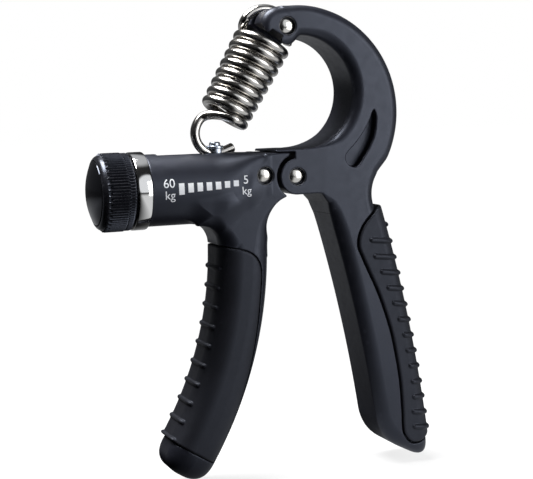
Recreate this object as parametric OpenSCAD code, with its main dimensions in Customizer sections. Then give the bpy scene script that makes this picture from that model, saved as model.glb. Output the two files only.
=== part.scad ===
// Hand grip strengthener with an adjustable extension spring.
// +X runs along the barrel away from the knob, +Z is up and the face that carries the scale looks
// along -Y. Everything is drawn from the hinge axis at mid thickness; the finished nodes are then
// moved so that the origin lies on the back face, where the grip rests when it is laid down.

/* [Arms] */
// Thickness of both arms, front face to back face
arm_t = 21; // [20:0.5:22]
// Rounding of the right handle's long edges
right_edge_r = 4; // [2.5:0.5:4.5]
// Rounding of the left handle's long edges
left_edge_r = 6; // [4:0.5:6.5]
// Radius of the right arm's lug around the hinge
lug_r = 6.1; // [5.6:0.1:6.3]
// Outer radius of the C-shaped hook
hook_outer_r = 35.7; // [35:0.1:36.5]
// Inner radius of the C-shaped hook
hook_inner_r = 18.7; // [18:0.1:19.2]

/* [Handles] */
// Radius of the left handle's centre line
left_bend_r = 129.5; // [128:0.5:131]
// Width of the left handle, palm side to finger side
left_w = 16.6; // [16:0.2:17.4]
// Radius of the right handle's centre line
right_bend_r = 541.4; // [540:0.2:542]
// Width of the right handle, palm side to finger side
right_w = 17.9; // [17:0.1:18.4]
// Thickness of the rubber grips
grip_t = 2.2; // [1.6:0.1:2.6]
// How far the grips stand proud of the handles' outer sides
grip_proud = 1.2; // [0.6:0.1:1.4]
// Height of the ribs on the grips
rib_h = 0.8; // [0.4:0.1:1]

/* [Barrel] */
// Outer radius of the barrel
barrel_r = 11.85; // [11.6:0.05:12]
// Height of the barrel's axis against the hinge axis
barrel_z = -2.7; // [-3:0.1:-2.5]
// Distance from the hinge axis to the barrel's shoulder
barrel_len = 50.6; // [50:0.1:51]
// Radius of the barrel's bore
bore_r = 8.6; // [8.2:0.1:8.8]

/* [Adjuster] */
// Radius of the chrome collar
collar_r = 12.8; // [12.4:0.1:12.9]
// Width of the chrome collar
collar_w = 4.8; // [4.4:0.1:5]
// Radius of the knob over its ribs
knob_r = 12.9; // [12.7:0.1:13.2]
// Length of the knob's ribbed part
knob_len = 9.8; // [9:0.1:10.5]
// Number of ribs around the knob
knob_ribs = 40; // [30:2:44]
// Distance from the hinge axis to the spring eye, at the setting shown
eye_x = 25.3; // [24:0.1:27]

/* [Spring] */
// Wire radius
wire_r = 1.6; // [1.4:0.05:1.65]
// Mean radius of the coils at the lower end
coil_r_low = 7.2; // [7:0.1:7.4]
// Mean radius of the coils at the upper end
coil_r_high = 8.2; // [7.8:0.1:8.3]
// Rise of the spring in one turn
coil_pitch = 3.46; // [3.4:0.02:3.5]
// Whole turns between the two hooks
coil_turns = 8; // [7:1:8]
// Flat sides of the wire's drawn section
wire_sides = 10; // [8:1:14]

/* [Hidden] */
$fn = 96;

half_t = arm_t / 2;
rest_at = [12, half_t, 2];  // the point on the back face that becomes the origin
eps = 0.01;
fit = 0.02;         // gap around parts that stay put in each other
run = 0.05;         // radial gap around parts that turn or slide

// Handles are arcs about far centres, [x, z], seen from the front
left_bend_c = [-147.5, -21.5];
right_bend_c = [-499, -161.2];
left_arc = [-33.2, -0.4];      // first and last angle of the left handle's centre line
right_arc = [7.5, 16.2];
left_grip_arc = [-32.4, -0.9];
right_grip_arc = [7.8, 15.3];
left_cover = 4.3;              // how far past its centre line the left grip reaches
right_cover = 0.6;
left_ribs = 10;
right_ribs = 14;
rib_w = 1.6;
left_grip_edge_r = left_edge_r + 1.5;
right_grip_edge_r = right_edge_r + 1.5;

// Hinge and rivets
arm_rivet_at = [-11.5, 0.8];
spring_rivet_at = [-2.0, 49.7];
rivet_r = 1.7;
rivet_head_r = 2.3;
rivet_recess_r = 2.9;
rivet_recess = 1.6;
rivet_head_h = 1.3;
hang_r = 2.0;                  // shank of the rivet that the spring hangs on
plate_t = 3;
plate_r = 5;
washer_t = 0.5;
socket_c = [0.2, 0.1];         // centre of the hollow in the left arm that faces the lug
socket_r = 7.4;
crotch_c = [-1.3, -15.5];      // centre of the hollow under the hinge
crotch_r = 9.05;
web_end = -2.4;                // where the left arm stops beside the hinge
arm_top = 8.2;                 // top edge of the left arm beside the hinge
stop_gap = 0.15;               // between the left arm's top and the right arm's stop lip

// C-shaped hook
hook_outer_c = [2.6, 20.9];
hook_inner_c = [2.9, 27.9];
tip_c = [-3.5, 49.5];
tip_r = 6.6;
nose_c = [-4.8, 49.7];         // the ears reach a little further over the spring than the tip
nose_r = 6.2;
neck_c = [40.5, -7.5];
neck_r = 12.3;
lip_top = 9.2;
lip_x = -7.5;
fork_half = 2.1;
fork_end = 5.6;
crescent_depth = 3.4;

// Barrel and adjuster, measured along X from the hinge axis
shoulder_x = -barrel_len;
spigot_r = barrel_r - 0.9;
spigot_x = shoulder_x - collar_w;
bore_end = -16.3;
bush_len = 5.8;
screw_r = 3;
screw_end = -17.6;
thread_pitch = 1;
thread_depth = 0.5;
flange_r = 6;
flange_t = 1.2;
knob_x = spigot_x - 0.2;
drive_r = 2.5;
drive_len = 5.3;
thrust_r = 6;
thrust_t = 0.6;
cap_r = 9.4;
dome_h = 2.1;
shoulder_h = 1.7;
nut_len = 8;
eye_r = 2.9;
eye_hole_r = 2.1;
eye_hole_z = 8.75;
eye_top = 11.2;
eye_button_top = 12.3;
eye_foot_z = barrel_z + 4.4;
nut_back = 17;                 // travel of the nut towards the knob
nut_fore = 4.8;                // travel of the nut towards the hinge

// Spring, in its own frame: +Z along its axis, +X to the right and down
spring_c = [-25.2, 15.2];      // centre of the lower loop
spring_tilt = 31;              // lean of the axis from upright
low_loop_r = 6.8;
high_loop_r = 8.5;
high_loop_x = -0.4;
high_join = 168;               // where the rising wire meets the upper loop
high_loop_end = 8;             // where the upper loop's free end stops
coil_z = 7.0;                  // height of the lowest right-hand point of the coils
coil_top = coil_z + coil_pitch * coil_turns;
high_loop_z = coil_top + 2.7;
tail_len = 3.9;
tail_turn = -38;               // where the tail leaves the lower loop
eye_turn = -62;                // where the lower loop passes through the spring eye
cut_turn = 180 * coil_turns;   // where the coils are divided into two nodes
low_leave = -195;              // where the lower loop turns up to meet the coils
front_leave = -70;             // where the coils begin, and where they end
back_leave = 360 * coil_turns + 120;
ear_relief_r = coil_r_high + wire_r + 0.3;
ear_relief_top = coil_top + coil_pitch / 3 + wire_r + 0.3;

// Colours
plastic_black = [0.07, 0.07, 0.085];
rubber_black = [0.045, 0.045, 0.05];
gloss_black = [0.02, 0.02, 0.025];
chrome = [0.86, 0.86, 0.88];
nickel = [0.76, 0.75, 0.73];
zinc = [0.66, 0.7, 0.76];
steel = [0.45, 0.46, 0.49];
nylon = [0.82, 0.81, 0.77];

// ---------- helpers ----------

// Extrudes a drawing made in X and Z through the thickness, centred on the origin plane
module through(t) {
  rotate([90, 0, 0]) linear_extrude(height = t, center = true) children();
}

// Turns a section about a far centre, between two angles, as seen from the front
module sweep_arc(centre, angles) {
  translate([centre[0], 0, centre[1]])
    rotate([90, 0, 0])
      rotate([0, 0, angles[0]])
        rotate_extrude(angle = angles[1] - angles[0], $fn = 360)
          children();
}

// Places a piece on the barrel's axis with its own +Z towards the knob
module on_barrel(x) {
  translate([x, 0, barrel_z]) rotate([0, -90, 0]) children();
}

// Moves a piece from the spring's own frame to its place
module on_spring() {
  translate([spring_c[0], 0, spring_c[1]]) rotate([0, spring_tilt, 0]) children();
}

// Moves a finished node so that the rest point is the origin
module place() {
  translate(-rest_at) children();
}

// Rectangle from [x0, y0] to [x1, y1] with round corners
module round_rect(x0, x1, y0, y1, r) {
  translate([x0 + r, y0]) square([x1 - x0 - 2 * r, y1 - y0]);
  translate([x0, y0 + r]) square([x1 - x0, y1 - y0 - 2 * r]);
  for (x = [x0 + r, x1 - r])
    for (y = [y0 + r, y1 - r])
      translate([x, y]) circle(r = r, $fn = 48);
}

module ring(r_out, r_in, h) {
  difference() {
    cylinder(r = r_out, h = h);
    translate([0, 0, -1]) cylinder(r = r_in, h = h + 2);
  }
}

// Rivet along Y with a low domed head at each end, each head sunk in its recess
module rivet(at, shank_r, head_r) {
  seat = half_t - rivet_recess;
  dome_r = (head_r * head_r + rivet_head_h * rivet_head_h) / (2 * rivet_head_h);
  translate([at[0], 0, at[1]]) rotate([90, 0, 0]) {
    translate([0, 0, -seat]) cylinder(r = shank_r, h = 2 * seat);
    for (side = [0, 1])
      mirror([0, 0, side])
        intersection() {
          translate([0, 0, seat]) cylinder(r = head_r, h = rivet_head_h);
          translate([0, 0, seat + rivet_head_h - dome_r]) sphere(r = dome_r);
        }
  }
}

// The hole and the two head recesses that a rivet needs
module rivet_hole(at, shank_r, recess_r) {
  translate([at[0], 0, at[1]]) rotate([90, 0, 0]) {
    cylinder(r = shank_r, h = arm_t + 2, center = true);
    for (side = [0, 1])
      mirror([0, 0, side])
        translate([0, 0, half_t - rivet_recess]) cylinder(r = recess_r, h = rivet_recess + 4);
  }
}

// ---------- handles and grips ----------

// Plain handle with a rounded lower end; r rounds its long edges
module handle(centre, r_mid, w, r, angles) {
  sweep_arc(centre, angles)
    translate([r_mid, 0]) round_rect(-w / 2, w / 2, -half_t, half_t, r);
  translate([centre[0], 0, centre[1]])
    rotate([90, 0, 0])
      rotate([0, 0, angles[0]])
        translate([r_mid, 0, 0])
          rotate([0, 0, 180])
            rotate_extrude(angle = 180)
              intersection() {
                round_rect(-w / 2, w / 2, -half_t, half_t, r);
                translate([0, -half_t]) square([w, arm_t]);
              }
}

// C-shaped section that wraps the outer side of a handle; side points to the outer side and
// r rounds the outer edges
module grip_section(r_mid, w, r, side, cover, inset, proud) {
  far = w / 2 + grip_proud + proud;
  outer_v = half_t + proud;
  inner_v = half_t - inset;
  translate([r_mid, 0]) mirror([side < 0 ? 1 : 0, 0])
    intersection() {
      difference() {
        round_rect(-w, far, -outer_v, outer_v, r);
        round_rect(-w, w / 2 + grip_proud - inset, -inner_v, inner_v, r - 1.5);
      }
      translate([-cover, -arm_t]) square([w * 2, arm_t * 2]);
    }
}

module grip_ribs(centre, r_mid, w, r, side, count, angles) {
  margin = (angles[1] - angles[0]) * 0.075;
  step = (angles[1] - angles[0] - 2 * margin) / (count - 1);
  rib_angle = rib_w / r_mid * 180 / PI;
  for (i = [0 : count - 1]) {
    a = angles[0] + margin + i * step;
    sweep_arc(centre, [a - rib_angle / 2, a + rib_angle / 2])
      grip_section(r_mid, w, r, side, -w / 2 + 5, 1, rib_h);
  }
}

// The grip's band, or with proud > 0 the room that it takes from the handle
module left_grip_band(proud = 0) {
  sweep_arc(left_bend_c, left_grip_arc)
    grip_section(left_bend_r, left_w, left_grip_edge_r, -1, left_cover, grip_t, proud);
}

module right_grip_band(proud = 0) {
  sweep_arc(right_bend_c, right_grip_arc)
    grip_section(right_bend_r, right_w, right_grip_edge_r, 1, right_cover, grip_t, proud);
}

module left_grip() {
  color(rubber_black) {
    left_grip_band();
    grip_ribs(left_bend_c, left_bend_r, left_w, left_grip_edge_r, -1, left_ribs, left_grip_arc);
  }
}

module right_grip() {
  color(rubber_black) {
    right_grip_band();
    grip_ribs(right_bend_c, right_bend_r, right_w, right_grip_edge_r, 1, right_ribs,
              right_grip_arc);
  }
}

// ---------- left arm ----------

// Web between the barrel, the hinge and the handle, drawn in X and Z
module left_web() {
  fillet_c = [-34, -21.2];
  fillet_r = 6.7;
  difference() {
    polygon([
      [-34.2, -8], [-22, -1], [-12.5, arm_top], [web_end, arm_top], [web_end - 1.1, -7.75],
      [-9.6, -16], [-9.6, -23], [-27.3, -23], [-34.2, -14.5]
    ]);
    translate(crotch_c) circle(r = crotch_r);
    translate(fillet_c) circle(r = fillet_r);
    translate(socket_c) circle(r = socket_r);
  }
}

// Rounds the web's long edges: a rounded block along X
module web_envelope() {
  translate([-40, 0, 0])
    rotate([90, 0, 90])
      linear_extrude(height = 60)
        round_rect(-half_t, half_t, -40, arm_top, 3);
}

module barrel_body() {
  on_barrel(-9) cylinder(r = barrel_r, h = barrel_len - 9);
  on_barrel(shoulder_x + 1) cylinder(r = spigot_r, h = collar_w + 1);
}

// Link with a round eye at each end, or with grow > 0 the pocket that it lies in
module plate_blank(t, grow) {
  waist = plate_r - 0.6 + grow;
  for (at = [arm_rivet_at, [0, 0]])
    through(t) translate(at) circle(r = plate_r + grow);
  through(t)
    polygon([
      [arm_rivet_at[0], arm_rivet_at[1] + waist], [0, waist],
      [0, -waist], [arm_rivet_at[0], arm_rivet_at[1] - waist]
    ]);
}

module left_arm() {
  color(plastic_black)
    difference() {
      union() {
        intersection() {
          union() {
            barrel_body();
            intersection() {
              through(arm_t) left_web();
              web_envelope();
            }
          }
          // keeps the barrel's end behind the hinge hollow
          through(arm_t + 8)
            difference() {
              translate([-70, -40]) square([70 + web_end, 60]);
              translate(socket_c) circle(r = socket_r);
              translate(crotch_c) circle(r = crotch_r);
            }
        }
        handle(left_bend_c, left_bend_r, left_w, left_edge_r, left_arc);
      }
      left_grip_band(3);
      // bore for bush, screw and nut
      on_barrel(bore_end) cylinder(r = bore_r, h = barrel_len + collar_w + 1);
      // slot for the spring eye
      translate([-eye_x - nut_back - eye_r - 0.6, -eye_r - 0.3, 3])
        cube([nut_back + nut_fore + 2 * eye_r + 4.4, 2 * eye_r + 0.6, 12]);
      // pocket for the hinge plate
      plate_blank(plate_t + 2 * fit, fit);
      rivet_hole(arm_rivet_at, rivet_r + fit, rivet_recess_r);
    }
}

module collar() {
  color(chrome)
    on_barrel(shoulder_x)
      intersection() {
        ring(collar_r, spigot_r + fit, collar_w);
        translate([0, 0, -4]) cylinder(r1 = collar_r + 3.6, r2 = collar_r - 0.4, h = collar_w + 4);
        cylinder(r1 = collar_r - 0.4, r2 = collar_r + 5, h = collar_w + 0.6);
      }
}

module bearing_bush() {
  color(nylon)
    on_barrel(spigot_x + bush_len)
      ring(bore_r - fit, screw_r + run, bush_len);
}

module hinge_plate() {
  color(steel)
    difference() {
      plate_blank(plate_t, 0);
      rivet_hole([0, 0], rivet_r + run, rivet_r);
      rivet_hole(arm_rivet_at, rivet_r + fit, rivet_r);
    }
}

module arm_rivet() {
  color(nickel) rivet(arm_rivet_at, rivet_r, rivet_head_r);
}

// ---------- adjuster ----------

module d_shape(r) {
  difference() {
    circle(r = r);
    translate([r * 0.65, -r]) square([r, 2 * r]);
  }
}

module knob() {
  rib_r = 0.55;
  color(plastic_black)
    on_barrel(knob_x)
      difference() {
        union() {
          cylinder(r = knob_r - 0.6, h = knob_len);
          // ribs, with a plain lower ring beside the collar
          translate([0, 0, 2.1])
            linear_extrude(height = knob_len - 2.1)
              for (i = [0 : knob_ribs - 1])
                rotate(i * 360 / knob_ribs) translate([knob_r - rib_r, 0]) circle(r = rib_r, $fn = 16);
          translate([0, 0, knob_len]) cylinder(r1 = knob_r - 0.6, r2 = cap_r + 0.4, h = shoulder_h);
        }
        // seat for the cap
        translate([0, 0, knob_len - 1.6]) cylinder(r = cap_r + fit, h = 5);
        translate([0, 0, 6]) cylinder(r = 6, h = 8);
        // recess for the thrust washer
        translate([0, 0, -1]) cylinder(r = thrust_r + 0.2, h = 1 + thrust_t);
        // keyed hole for the lead screw, then the hole for the knob screw
        translate([0, 0, -1]) linear_extrude(height = 1 + drive_len) d_shape(drive_r + fit);
        cylinder(r = 1.3, h = 12);
      }
}

module knob_cap() {
  dome_r = (cap_r * cap_r + dome_h * dome_h) / (2 * dome_h);
  base = knob_len - 1.6;
  rim = knob_len + shoulder_h;
  color(gloss_black)
    on_barrel(knob_x)
      difference() {
        union() {
          translate([0, 0, base + fit]) cylinder(r = cap_r, h = rim - base - fit);
          intersection() {
            translate([0, 0, rim - eps]) cylinder(r = cap_r, h = dome_h + 1);
            translate([0, 0, rim + dome_h - dome_r]) sphere(r = dome_r, $fn = 160);
          }
        }
        translate([0, 0, base - 1]) cylinder(r = 5.5, h = 3.4);
      }
}

module knob_screw() {
  color(zinc)
    on_barrel(knob_x)
      union() {
        translate([0, 0, 2.5]) cylinder(r = 1.15, h = 3.6);
        translate([0, 0, 6 + fit]) difference() {
          cylinder(r = 2.4, h = 1.7);
          translate([-3, -0.35, 0.9]) cube([6, 0.7, 2]);
        }
      }
}

// Screw profile as rings: crest, root, crest along its length
module thread(from_x, to_x) {
  turns = floor((to_x - from_x) / thread_pitch);
  root = screw_r - thread_depth;
  crests = [for (i = [0 : turns - 1]) for (p = [
    [root, i * thread_pitch], [screw_r, (i + 0.4) * thread_pitch],
    [screw_r, (i + 0.6) * thread_pitch]
  ]) p];
  translate([from_x, 0, barrel_z])
    rotate([0, 90, 0])
      rotate_extrude()
        polygon(concat([[0, 0]], crests, [[root, turns * thread_pitch], [0, turns * thread_pitch]]));
}

module lead_screw() {
  flange_x = spigot_x + bush_len + run + flange_t;
  color(steel)
    difference() {
      union() {
        thread(flange_x - eps, screw_end);
        on_barrel(flange_x) cylinder(r = flange_r, h = flange_t);
        on_barrel(flange_x - 0.5) cylinder(r = screw_r, h = flange_x - 0.5 - knob_x + thrust_t);
        on_barrel(knob_x) linear_extrude(height = drive_len - 0.1) d_shape(drive_r);
      }
      on_barrel(knob_x) translate([0, 0, 2.3]) cylinder(r = 1.15 + fit, h = 5);
    }
}

module thrust_washer() {
  color(steel)
    on_barrel(spigot_x - fit)
      ring(thrust_r, screw_r + 2 * run, thrust_t);
}

module slide_nut() {
  color(zinc)
    difference() {
      on_barrel(-eye_x + nut_len / 2) cylinder(r = bore_r - run, h = nut_len);
      on_barrel(-eye_x + nut_len) cylinder(r = screw_r + run, h = 2 * nut_len);
      translate([-eye_x, 0, eye_foot_z]) cylinder(r = eye_r + fit, h = 20);
    }
}

module spring_eye() {
  color(zinc)
    difference() {
      translate([-eye_x, 0, 0]) union() {
        translate([0, 0, eye_foot_z + fit]) cylinder(r = eye_r, h = eye_top - 0.5 - eye_foot_z - fit);
        translate([0, 0, eye_top - 0.5]) cylinder(r1 = eye_r, r2 = eye_r - 0.5, h = 0.5);
        translate([0, 0, eye_top - eps]) cylinder(r = 1.9, h = eye_button_top - eye_top);
      }
      translate([-eye_x - 10, 0, eye_hole_z]) rotate([0, 90, 0]) cylinder(r = eye_hole_r, h = 20);
    }
}

// ---------- right arm ----------

// Crescent-shaped hollow in the C's broad side
module crescent() {
  difference() {
    intersection() {
      translate([13.4, 16.6]) circle(r = 16.4);
      translate([19.2, 5.2]) square([14, 18]);
    }
    translate(hook_inner_c) circle(r = 26.6);
  }
  translate([20.7, 5.1]) circle(r = 2.5);
}

module hook_outline() {
  difference() {
    union() {
      intersection() {
        translate(hook_outer_c) circle(r = hook_outer_r, $fn = 180);
        polygon([
          [tip_c[0], 60], [60, 60], [60, -20], [31, -20], [14, -16], [10.4, -8.5],
          [4, -6.6], [-0.8, -5], [-0.8, arm_top + stop_gap], [lip_x, arm_top + stop_gap],
          [lip_x, lip_top], [tip_c[0], 30]
        ]);
      }
      // neck down to the handle
      polygon([[9, 0], [31.2, -0.5], neck_c, [34, -16], [13.6, -16], [10.4, -8.5]]);
    }
    translate(hook_inner_c) circle(r = hook_inner_r, $fn = 120);
    translate([-20, lip_top]) square([20 + hook_inner_c[0], hook_inner_c[1] - lip_top]);
    translate(neck_c) circle(r = neck_r);
  }
  translate(tip_c) circle(r = tip_r);
  translate(nose_c) circle(r = nose_r);
  circle(r = lug_r);
}

module right_arm() {
  slot_half = plate_t / 2 + washer_t + run;
  color(plastic_black)
    difference() {
      union() {
        through(arm_t) hook_outline();
        handle(right_bend_c, right_bend_r, right_w, right_edge_r, right_arc);
      }
      right_grip_band(3);
      // slot for the hinge plate and its washers
      through(2 * slot_half) {
        circle(r = 5.6);
        translate([-9, -9]) square([9, 9 + arm_top]);
      }
      rivet_hole([0, 0], rivet_r + fit, rivet_recess_r);
      // fork for the spring's upper loop
      through(2 * fork_half) translate([-14, 36]) square([14 + fork_end, 30]);
      rivet_hole(spring_rivet_at, hang_r + fit, rivet_recess_r);
      // room for the spring's top turn under the ears
      on_spring() translate([0, 0, 20]) cylinder(r = ear_relief_r, h = ear_relief_top - 20);
      for (side = [-1, 1])
        translate([0, side * half_t, 0]) through(2 * crescent_depth) crescent();
    }
}

module hinge_rivet() {
  color(nickel) rivet([0, 0], rivet_r, rivet_head_r);
}

module hinge_washers() {
  color(nickel)
    for (side = [-1, 1])
      translate([0, side * (plate_t / 2 + run / 2 + washer_t / 2), 0])
        through(washer_t)
          difference() {
            circle(r = 5);
            circle(r = rivet_r + run);
          }
}

module spring_rivet() {
  color(nickel) rivet(spring_rivet_at, hang_r, rivet_head_r + 0.1);
}

// ---------- spring ----------

function unit(v) = v / norm(v);
function mix(a, b, t) = a + (b - a) * t;

// Coil point and direction at a turning angle, counted from the lowest right-hand point
function coil_share(a) = a / (360 * coil_turns);
function coil_radius(a) = mix(coil_r_low, coil_r_high, min(1, max(0, coil_share(a))));
function coil_point(a) = [coil_radius(a) * cos(a), coil_radius(a) * sin(a), coil_z + coil_pitch * a / 360];
function coil_way(a) = unit(coil_point(a + 1) - coil_point(a - 1));

// Point on a loop in the X-Z plane, and the direction of its wire towards falling angles
function low_loop(a) = low_loop_r * [cos(a), 0, sin(a)];
function high_loop(a) = [high_loop_x, 0, high_loop_z] + high_loop_r * [cos(a), 0, sin(a)];
function loop_way(a) = [sin(a), 0, -cos(a)];

// Smooth bend from p0 along d0 to p1 along d1
function bend_point(p0, d0, p1, d1, k, t) =
  p0 * (2 * pow(t, 3) - 3 * pow(t, 2) + 1) + d0 * k * (pow(t, 3) - 2 * pow(t, 2) + t)
  + p1 * (3 * pow(t, 2) - 2 * pow(t, 3)) + d1 * k * (pow(t, 3) - pow(t, 2));

function tail_path() = concat(
  [low_loop(tail_turn) - loop_way(tail_turn) * tail_len],
  [for (i = [0 : 4]) low_loop(mix(tail_turn, eye_turn, i / 4))]
);
function low_hook_path() = concat(
  [for (i = [0 : 16]) low_loop(mix(eye_turn, low_leave, i / 16))],
  [for (i = [1 : 12]) bend_point(
    low_loop(low_leave), loop_way(low_leave),
    coil_point(front_leave), coil_way(front_leave), 11, i / 12)]
);
function coil_path(a0, a1) =
  let (n = round((a1 - a0) / 18))
  [for (i = [0 : n]) coil_point(mix(a0, a1, i / n))];
function high_hook_path() = concat(
  [for (i = [0 : 10]) bend_point(
    coil_point(back_leave), coil_way(back_leave),
    high_loop(high_join), loop_way(high_join), 9, i / 10)],
  [for (i = [1 : 16]) high_loop(mix(high_join, high_loop_end, i / 16))]
);

function path_way(p, i) = unit(p[i + 1] - p[i - 1]);
function square_to(n, w) = unit(n - w * (n * w));

// Round wire along a list of points, its section carried along without twist. The two ends are
// cut square to the given directions, so that neighbouring pieces meet in one plane
module wire(path, first_way, last_way) {
  last = len(path) - 1;
  ways = [for (i = [0 : last]) i == 0 ? first_way : i == last ? last_way : path_way(path, i)];
  sides = [for (i = 0, n = square_to([0.1, 1, 0.2], ways[0]); i <= last;
                i = i + 1, n = i <= last ? square_to(n, ways[i]) : n) n];
  points = [for (i = [0 : last]) for (k = [0 : wire_sides - 1])
    let (a = 360 * k / wire_sides)
      path[i] + wire_r * (sides[i] * cos(a) + cross(ways[i], sides[i]) * sin(a))];
  walls = [for (i = [0 : last - 1]) for (k = [0 : wire_sides - 1])
    let (a = i * wire_sides + k, b = i * wire_sides + (k + 1) % wire_sides)
      [a, a + wire_sides, b + wire_sides, b]];
  split = [for (f = walls) for (t = [[f[0], f[1], f[2]], [f[0], f[2], f[3]]]) t];
  ends = [[for (k = [0 : wire_sides - 1]) k],
          [for (k = [wire_sides - 1 : -1 : 0]) last * wire_sides + k]];
  polyhedron(points = points, faces = concat(split, ends), convexity = 10);
}

module spring_hook_tail() {
  color(nickel) on_spring() wire(tail_path(), loop_way(tail_turn), loop_way(eye_turn));
}

module spring_lower_hook() {
  color(nickel) on_spring() wire(low_hook_path(), loop_way(eye_turn), coil_way(front_leave));
}

module spring_lower_coils() {
  color(nickel) on_spring()
    wire(coil_path(front_leave, cut_turn), coil_way(front_leave), coil_way(cut_turn));
}

module spring_upper_coils() {
  color(nickel) on_spring()
    wire(coil_path(cut_turn, back_leave), coil_way(cut_turn), coil_way(back_leave));
}

module spring_upper_hook() {
  color(nickel) on_spring() wire(high_hook_path(), coil_way(back_leave), loop_way(high_loop_end));
}

place() left_arm();
place() left_grip();
place() collar();
place() bearing_bush();
place() hinge_plate();
place() arm_rivet();
place() knob();
place() knob_cap();
place() knob_screw();
place() lead_screw();
place() thrust_washer();
place() slide_nut();
place() spring_eye();
place() right_arm();
place() right_grip();
place() hinge_rivet();
place() hinge_washers();
place() spring_rivet();
place() spring_hook_tail();
place() spring_lower_hook();
place() spring_lower_coils();
place() spring_upper_coils();
place() spring_upper_hook();
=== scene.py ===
"""Looks of the hand grip strengthener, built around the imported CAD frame.

Lengths below are millimetres from the hinge axis at mid thickness, unless a name says otherwise.
in_frame() turns them into metres of the shared frame, whose origin lies on the back face.
X runs along the barrel away from the knob, Z is up and -Y is the face that carries the scale.
"""
import math

import bmesh
import bpy
import numpy as np
import openvdb
from mathutils import Matrix, Vector


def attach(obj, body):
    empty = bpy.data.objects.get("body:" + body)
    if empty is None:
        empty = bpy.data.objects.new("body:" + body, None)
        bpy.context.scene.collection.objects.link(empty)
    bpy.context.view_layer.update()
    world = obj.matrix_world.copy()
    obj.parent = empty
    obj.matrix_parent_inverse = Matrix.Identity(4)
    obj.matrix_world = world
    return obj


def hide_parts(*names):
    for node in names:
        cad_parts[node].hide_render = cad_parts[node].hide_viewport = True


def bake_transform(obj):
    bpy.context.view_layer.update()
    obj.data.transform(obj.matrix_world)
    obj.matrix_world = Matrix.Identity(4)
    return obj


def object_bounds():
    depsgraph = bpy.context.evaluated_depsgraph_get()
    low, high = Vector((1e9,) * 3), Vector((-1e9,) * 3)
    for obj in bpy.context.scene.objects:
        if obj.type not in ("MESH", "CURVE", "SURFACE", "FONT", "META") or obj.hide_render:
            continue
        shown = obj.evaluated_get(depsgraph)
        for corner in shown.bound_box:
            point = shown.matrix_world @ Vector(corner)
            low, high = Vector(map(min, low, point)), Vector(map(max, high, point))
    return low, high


MM = 0.001
REST_AT = np.array([12.0, 10.5, 2.0])           # the shared frame's origin

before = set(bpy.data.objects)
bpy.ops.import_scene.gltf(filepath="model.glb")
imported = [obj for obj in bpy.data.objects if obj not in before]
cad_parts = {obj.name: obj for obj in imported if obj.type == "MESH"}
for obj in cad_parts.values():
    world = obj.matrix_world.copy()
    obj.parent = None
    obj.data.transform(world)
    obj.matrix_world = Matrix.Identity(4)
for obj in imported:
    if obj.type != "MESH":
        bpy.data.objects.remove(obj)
cad_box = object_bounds()

FINE_CELL = 0.3
ARM_CELL = 0.4

# ---------------------------------------------------------------- measures, most as in the CAD
# spans are a middle and a half length, discs a centre and a radius, bends a handle's far centre,
# the radius to its middle and its half width
HALF_T = 10.5
BARREL_Z = -2.7
BARREL_R = 11.85
BARREL_SPAN = (-30, 20.6)
SPIGOT_SPAN = (-52, 3.4)
SHOULDER_X = -50.6
SPIGOT_R = 10.95
BORE_R = 8.7                                    # a little wider than in the CAD, clear of the nut
BORE_END = -15.9
SLOT = (-45.8, -13.8, 3.2)                      # from, to, half width
EYE_X = -25.3
LEFT_BEND = ((-147.5, -21.5), 129.5, 8.3)
RIGHT_BEND = ((-499.0, -161.2), 541.4, 8.95)
HOOK_OUT = ((2.6, 20.9), 35.7)
HOOK_IN = ((2.9, 27.9), 18.7)
TIP = ((-3.5, 49.5), 6.6)
NOSE = ((-4.8, 49.7), 6.2)
NECK = ((40.5, -7.5), 12.3)
SOCKET = ((0.2, 0.1), 7.4)
CROTCH = ((-1.3, -15.5), 9.05)
ARM_RIVET = (-11.5, 0.8)
HINGE_RIVET = (0.0, 0.0)
SPRING_RIVET = (-2.0, 49.7)
LUG_R = 6.1
PLATE_R = 5
RECESS_R = 2.9
RECESS = 1.6
SEAT_DEPTH = 2.2                                # of the grips in the handles
GRIP_INNER = 2.15                               # depth of the grips' undersides

# the spring has its own frame: EZ along its axis, EX to the right and down
SPRING_C = np.array([-25.2, 0.0, 15.2])
TILT = math.radians(31)
EX = np.array([math.cos(TILT), 0, -math.sin(TILT)])
EY = np.array([0.0, 1.0, 0.0])
EZ = np.array([math.sin(TILT), 0, math.cos(TILT)])
WIRE_R = 1.6
R_LOW, R_HIGH = 7.2, 8.2
PITCH, TURNS, COIL_Z = 3.46, 8, 7.0
COIL_TOP = COIL_Z + PITCH * TURNS
LOW_LOOP = ((0, 0), 6.8)
HIGH_LOOP = ((-0.4, COIL_TOP + 2.7), 8.5)
TAIL_LEN = 3.9                                  # the straight end before the lower loop
TAIL_TURN, EYE_TURN, LOW_LEAVE = -38, -62, -195     # degrees on the lower loop
HIGH_JOIN, HIGH_END = 168, 8                        # and on the upper one
FRONT_LEAVE, BACK_LEAVE = -70, 360 * TURNS + 120    # and on the coil, where the bends begin
RELIEF_R = R_HIGH + WIRE_R + 0.55
RELIEF_SPAN = (28.9, 8.9)                       # along the spring, under the ears of the fork


def in_frame(points):
    return (np.asarray(points, float) - REST_AT) * MM


# ---------------------------------------------------------------- signed distances
def smin(a, b, k):
    """Union of two distances, blended over a width of k."""
    h = np.clip(0.5 + 0.5 * (b - a) / k, 0, 1)
    return b * (1 - h) + a * h - k * h * (1 - h)


def smax(a, b, k):
    return -smin(-a, -b, k)


def ease(t):
    t = np.clip(t, 0, 1)
    return t * t * (3 - 2 * t)


def disc(x, z, spec):
    """Distance to a disc given by its centre and radius."""
    return np.hypot(x - spec[0][0], z - spec[0][1]) - spec[1]


def span(x, spec):
    """Distance to a stretch given by its middle and half length."""
    return np.abs(x - spec[0]) - spec[1]


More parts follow.
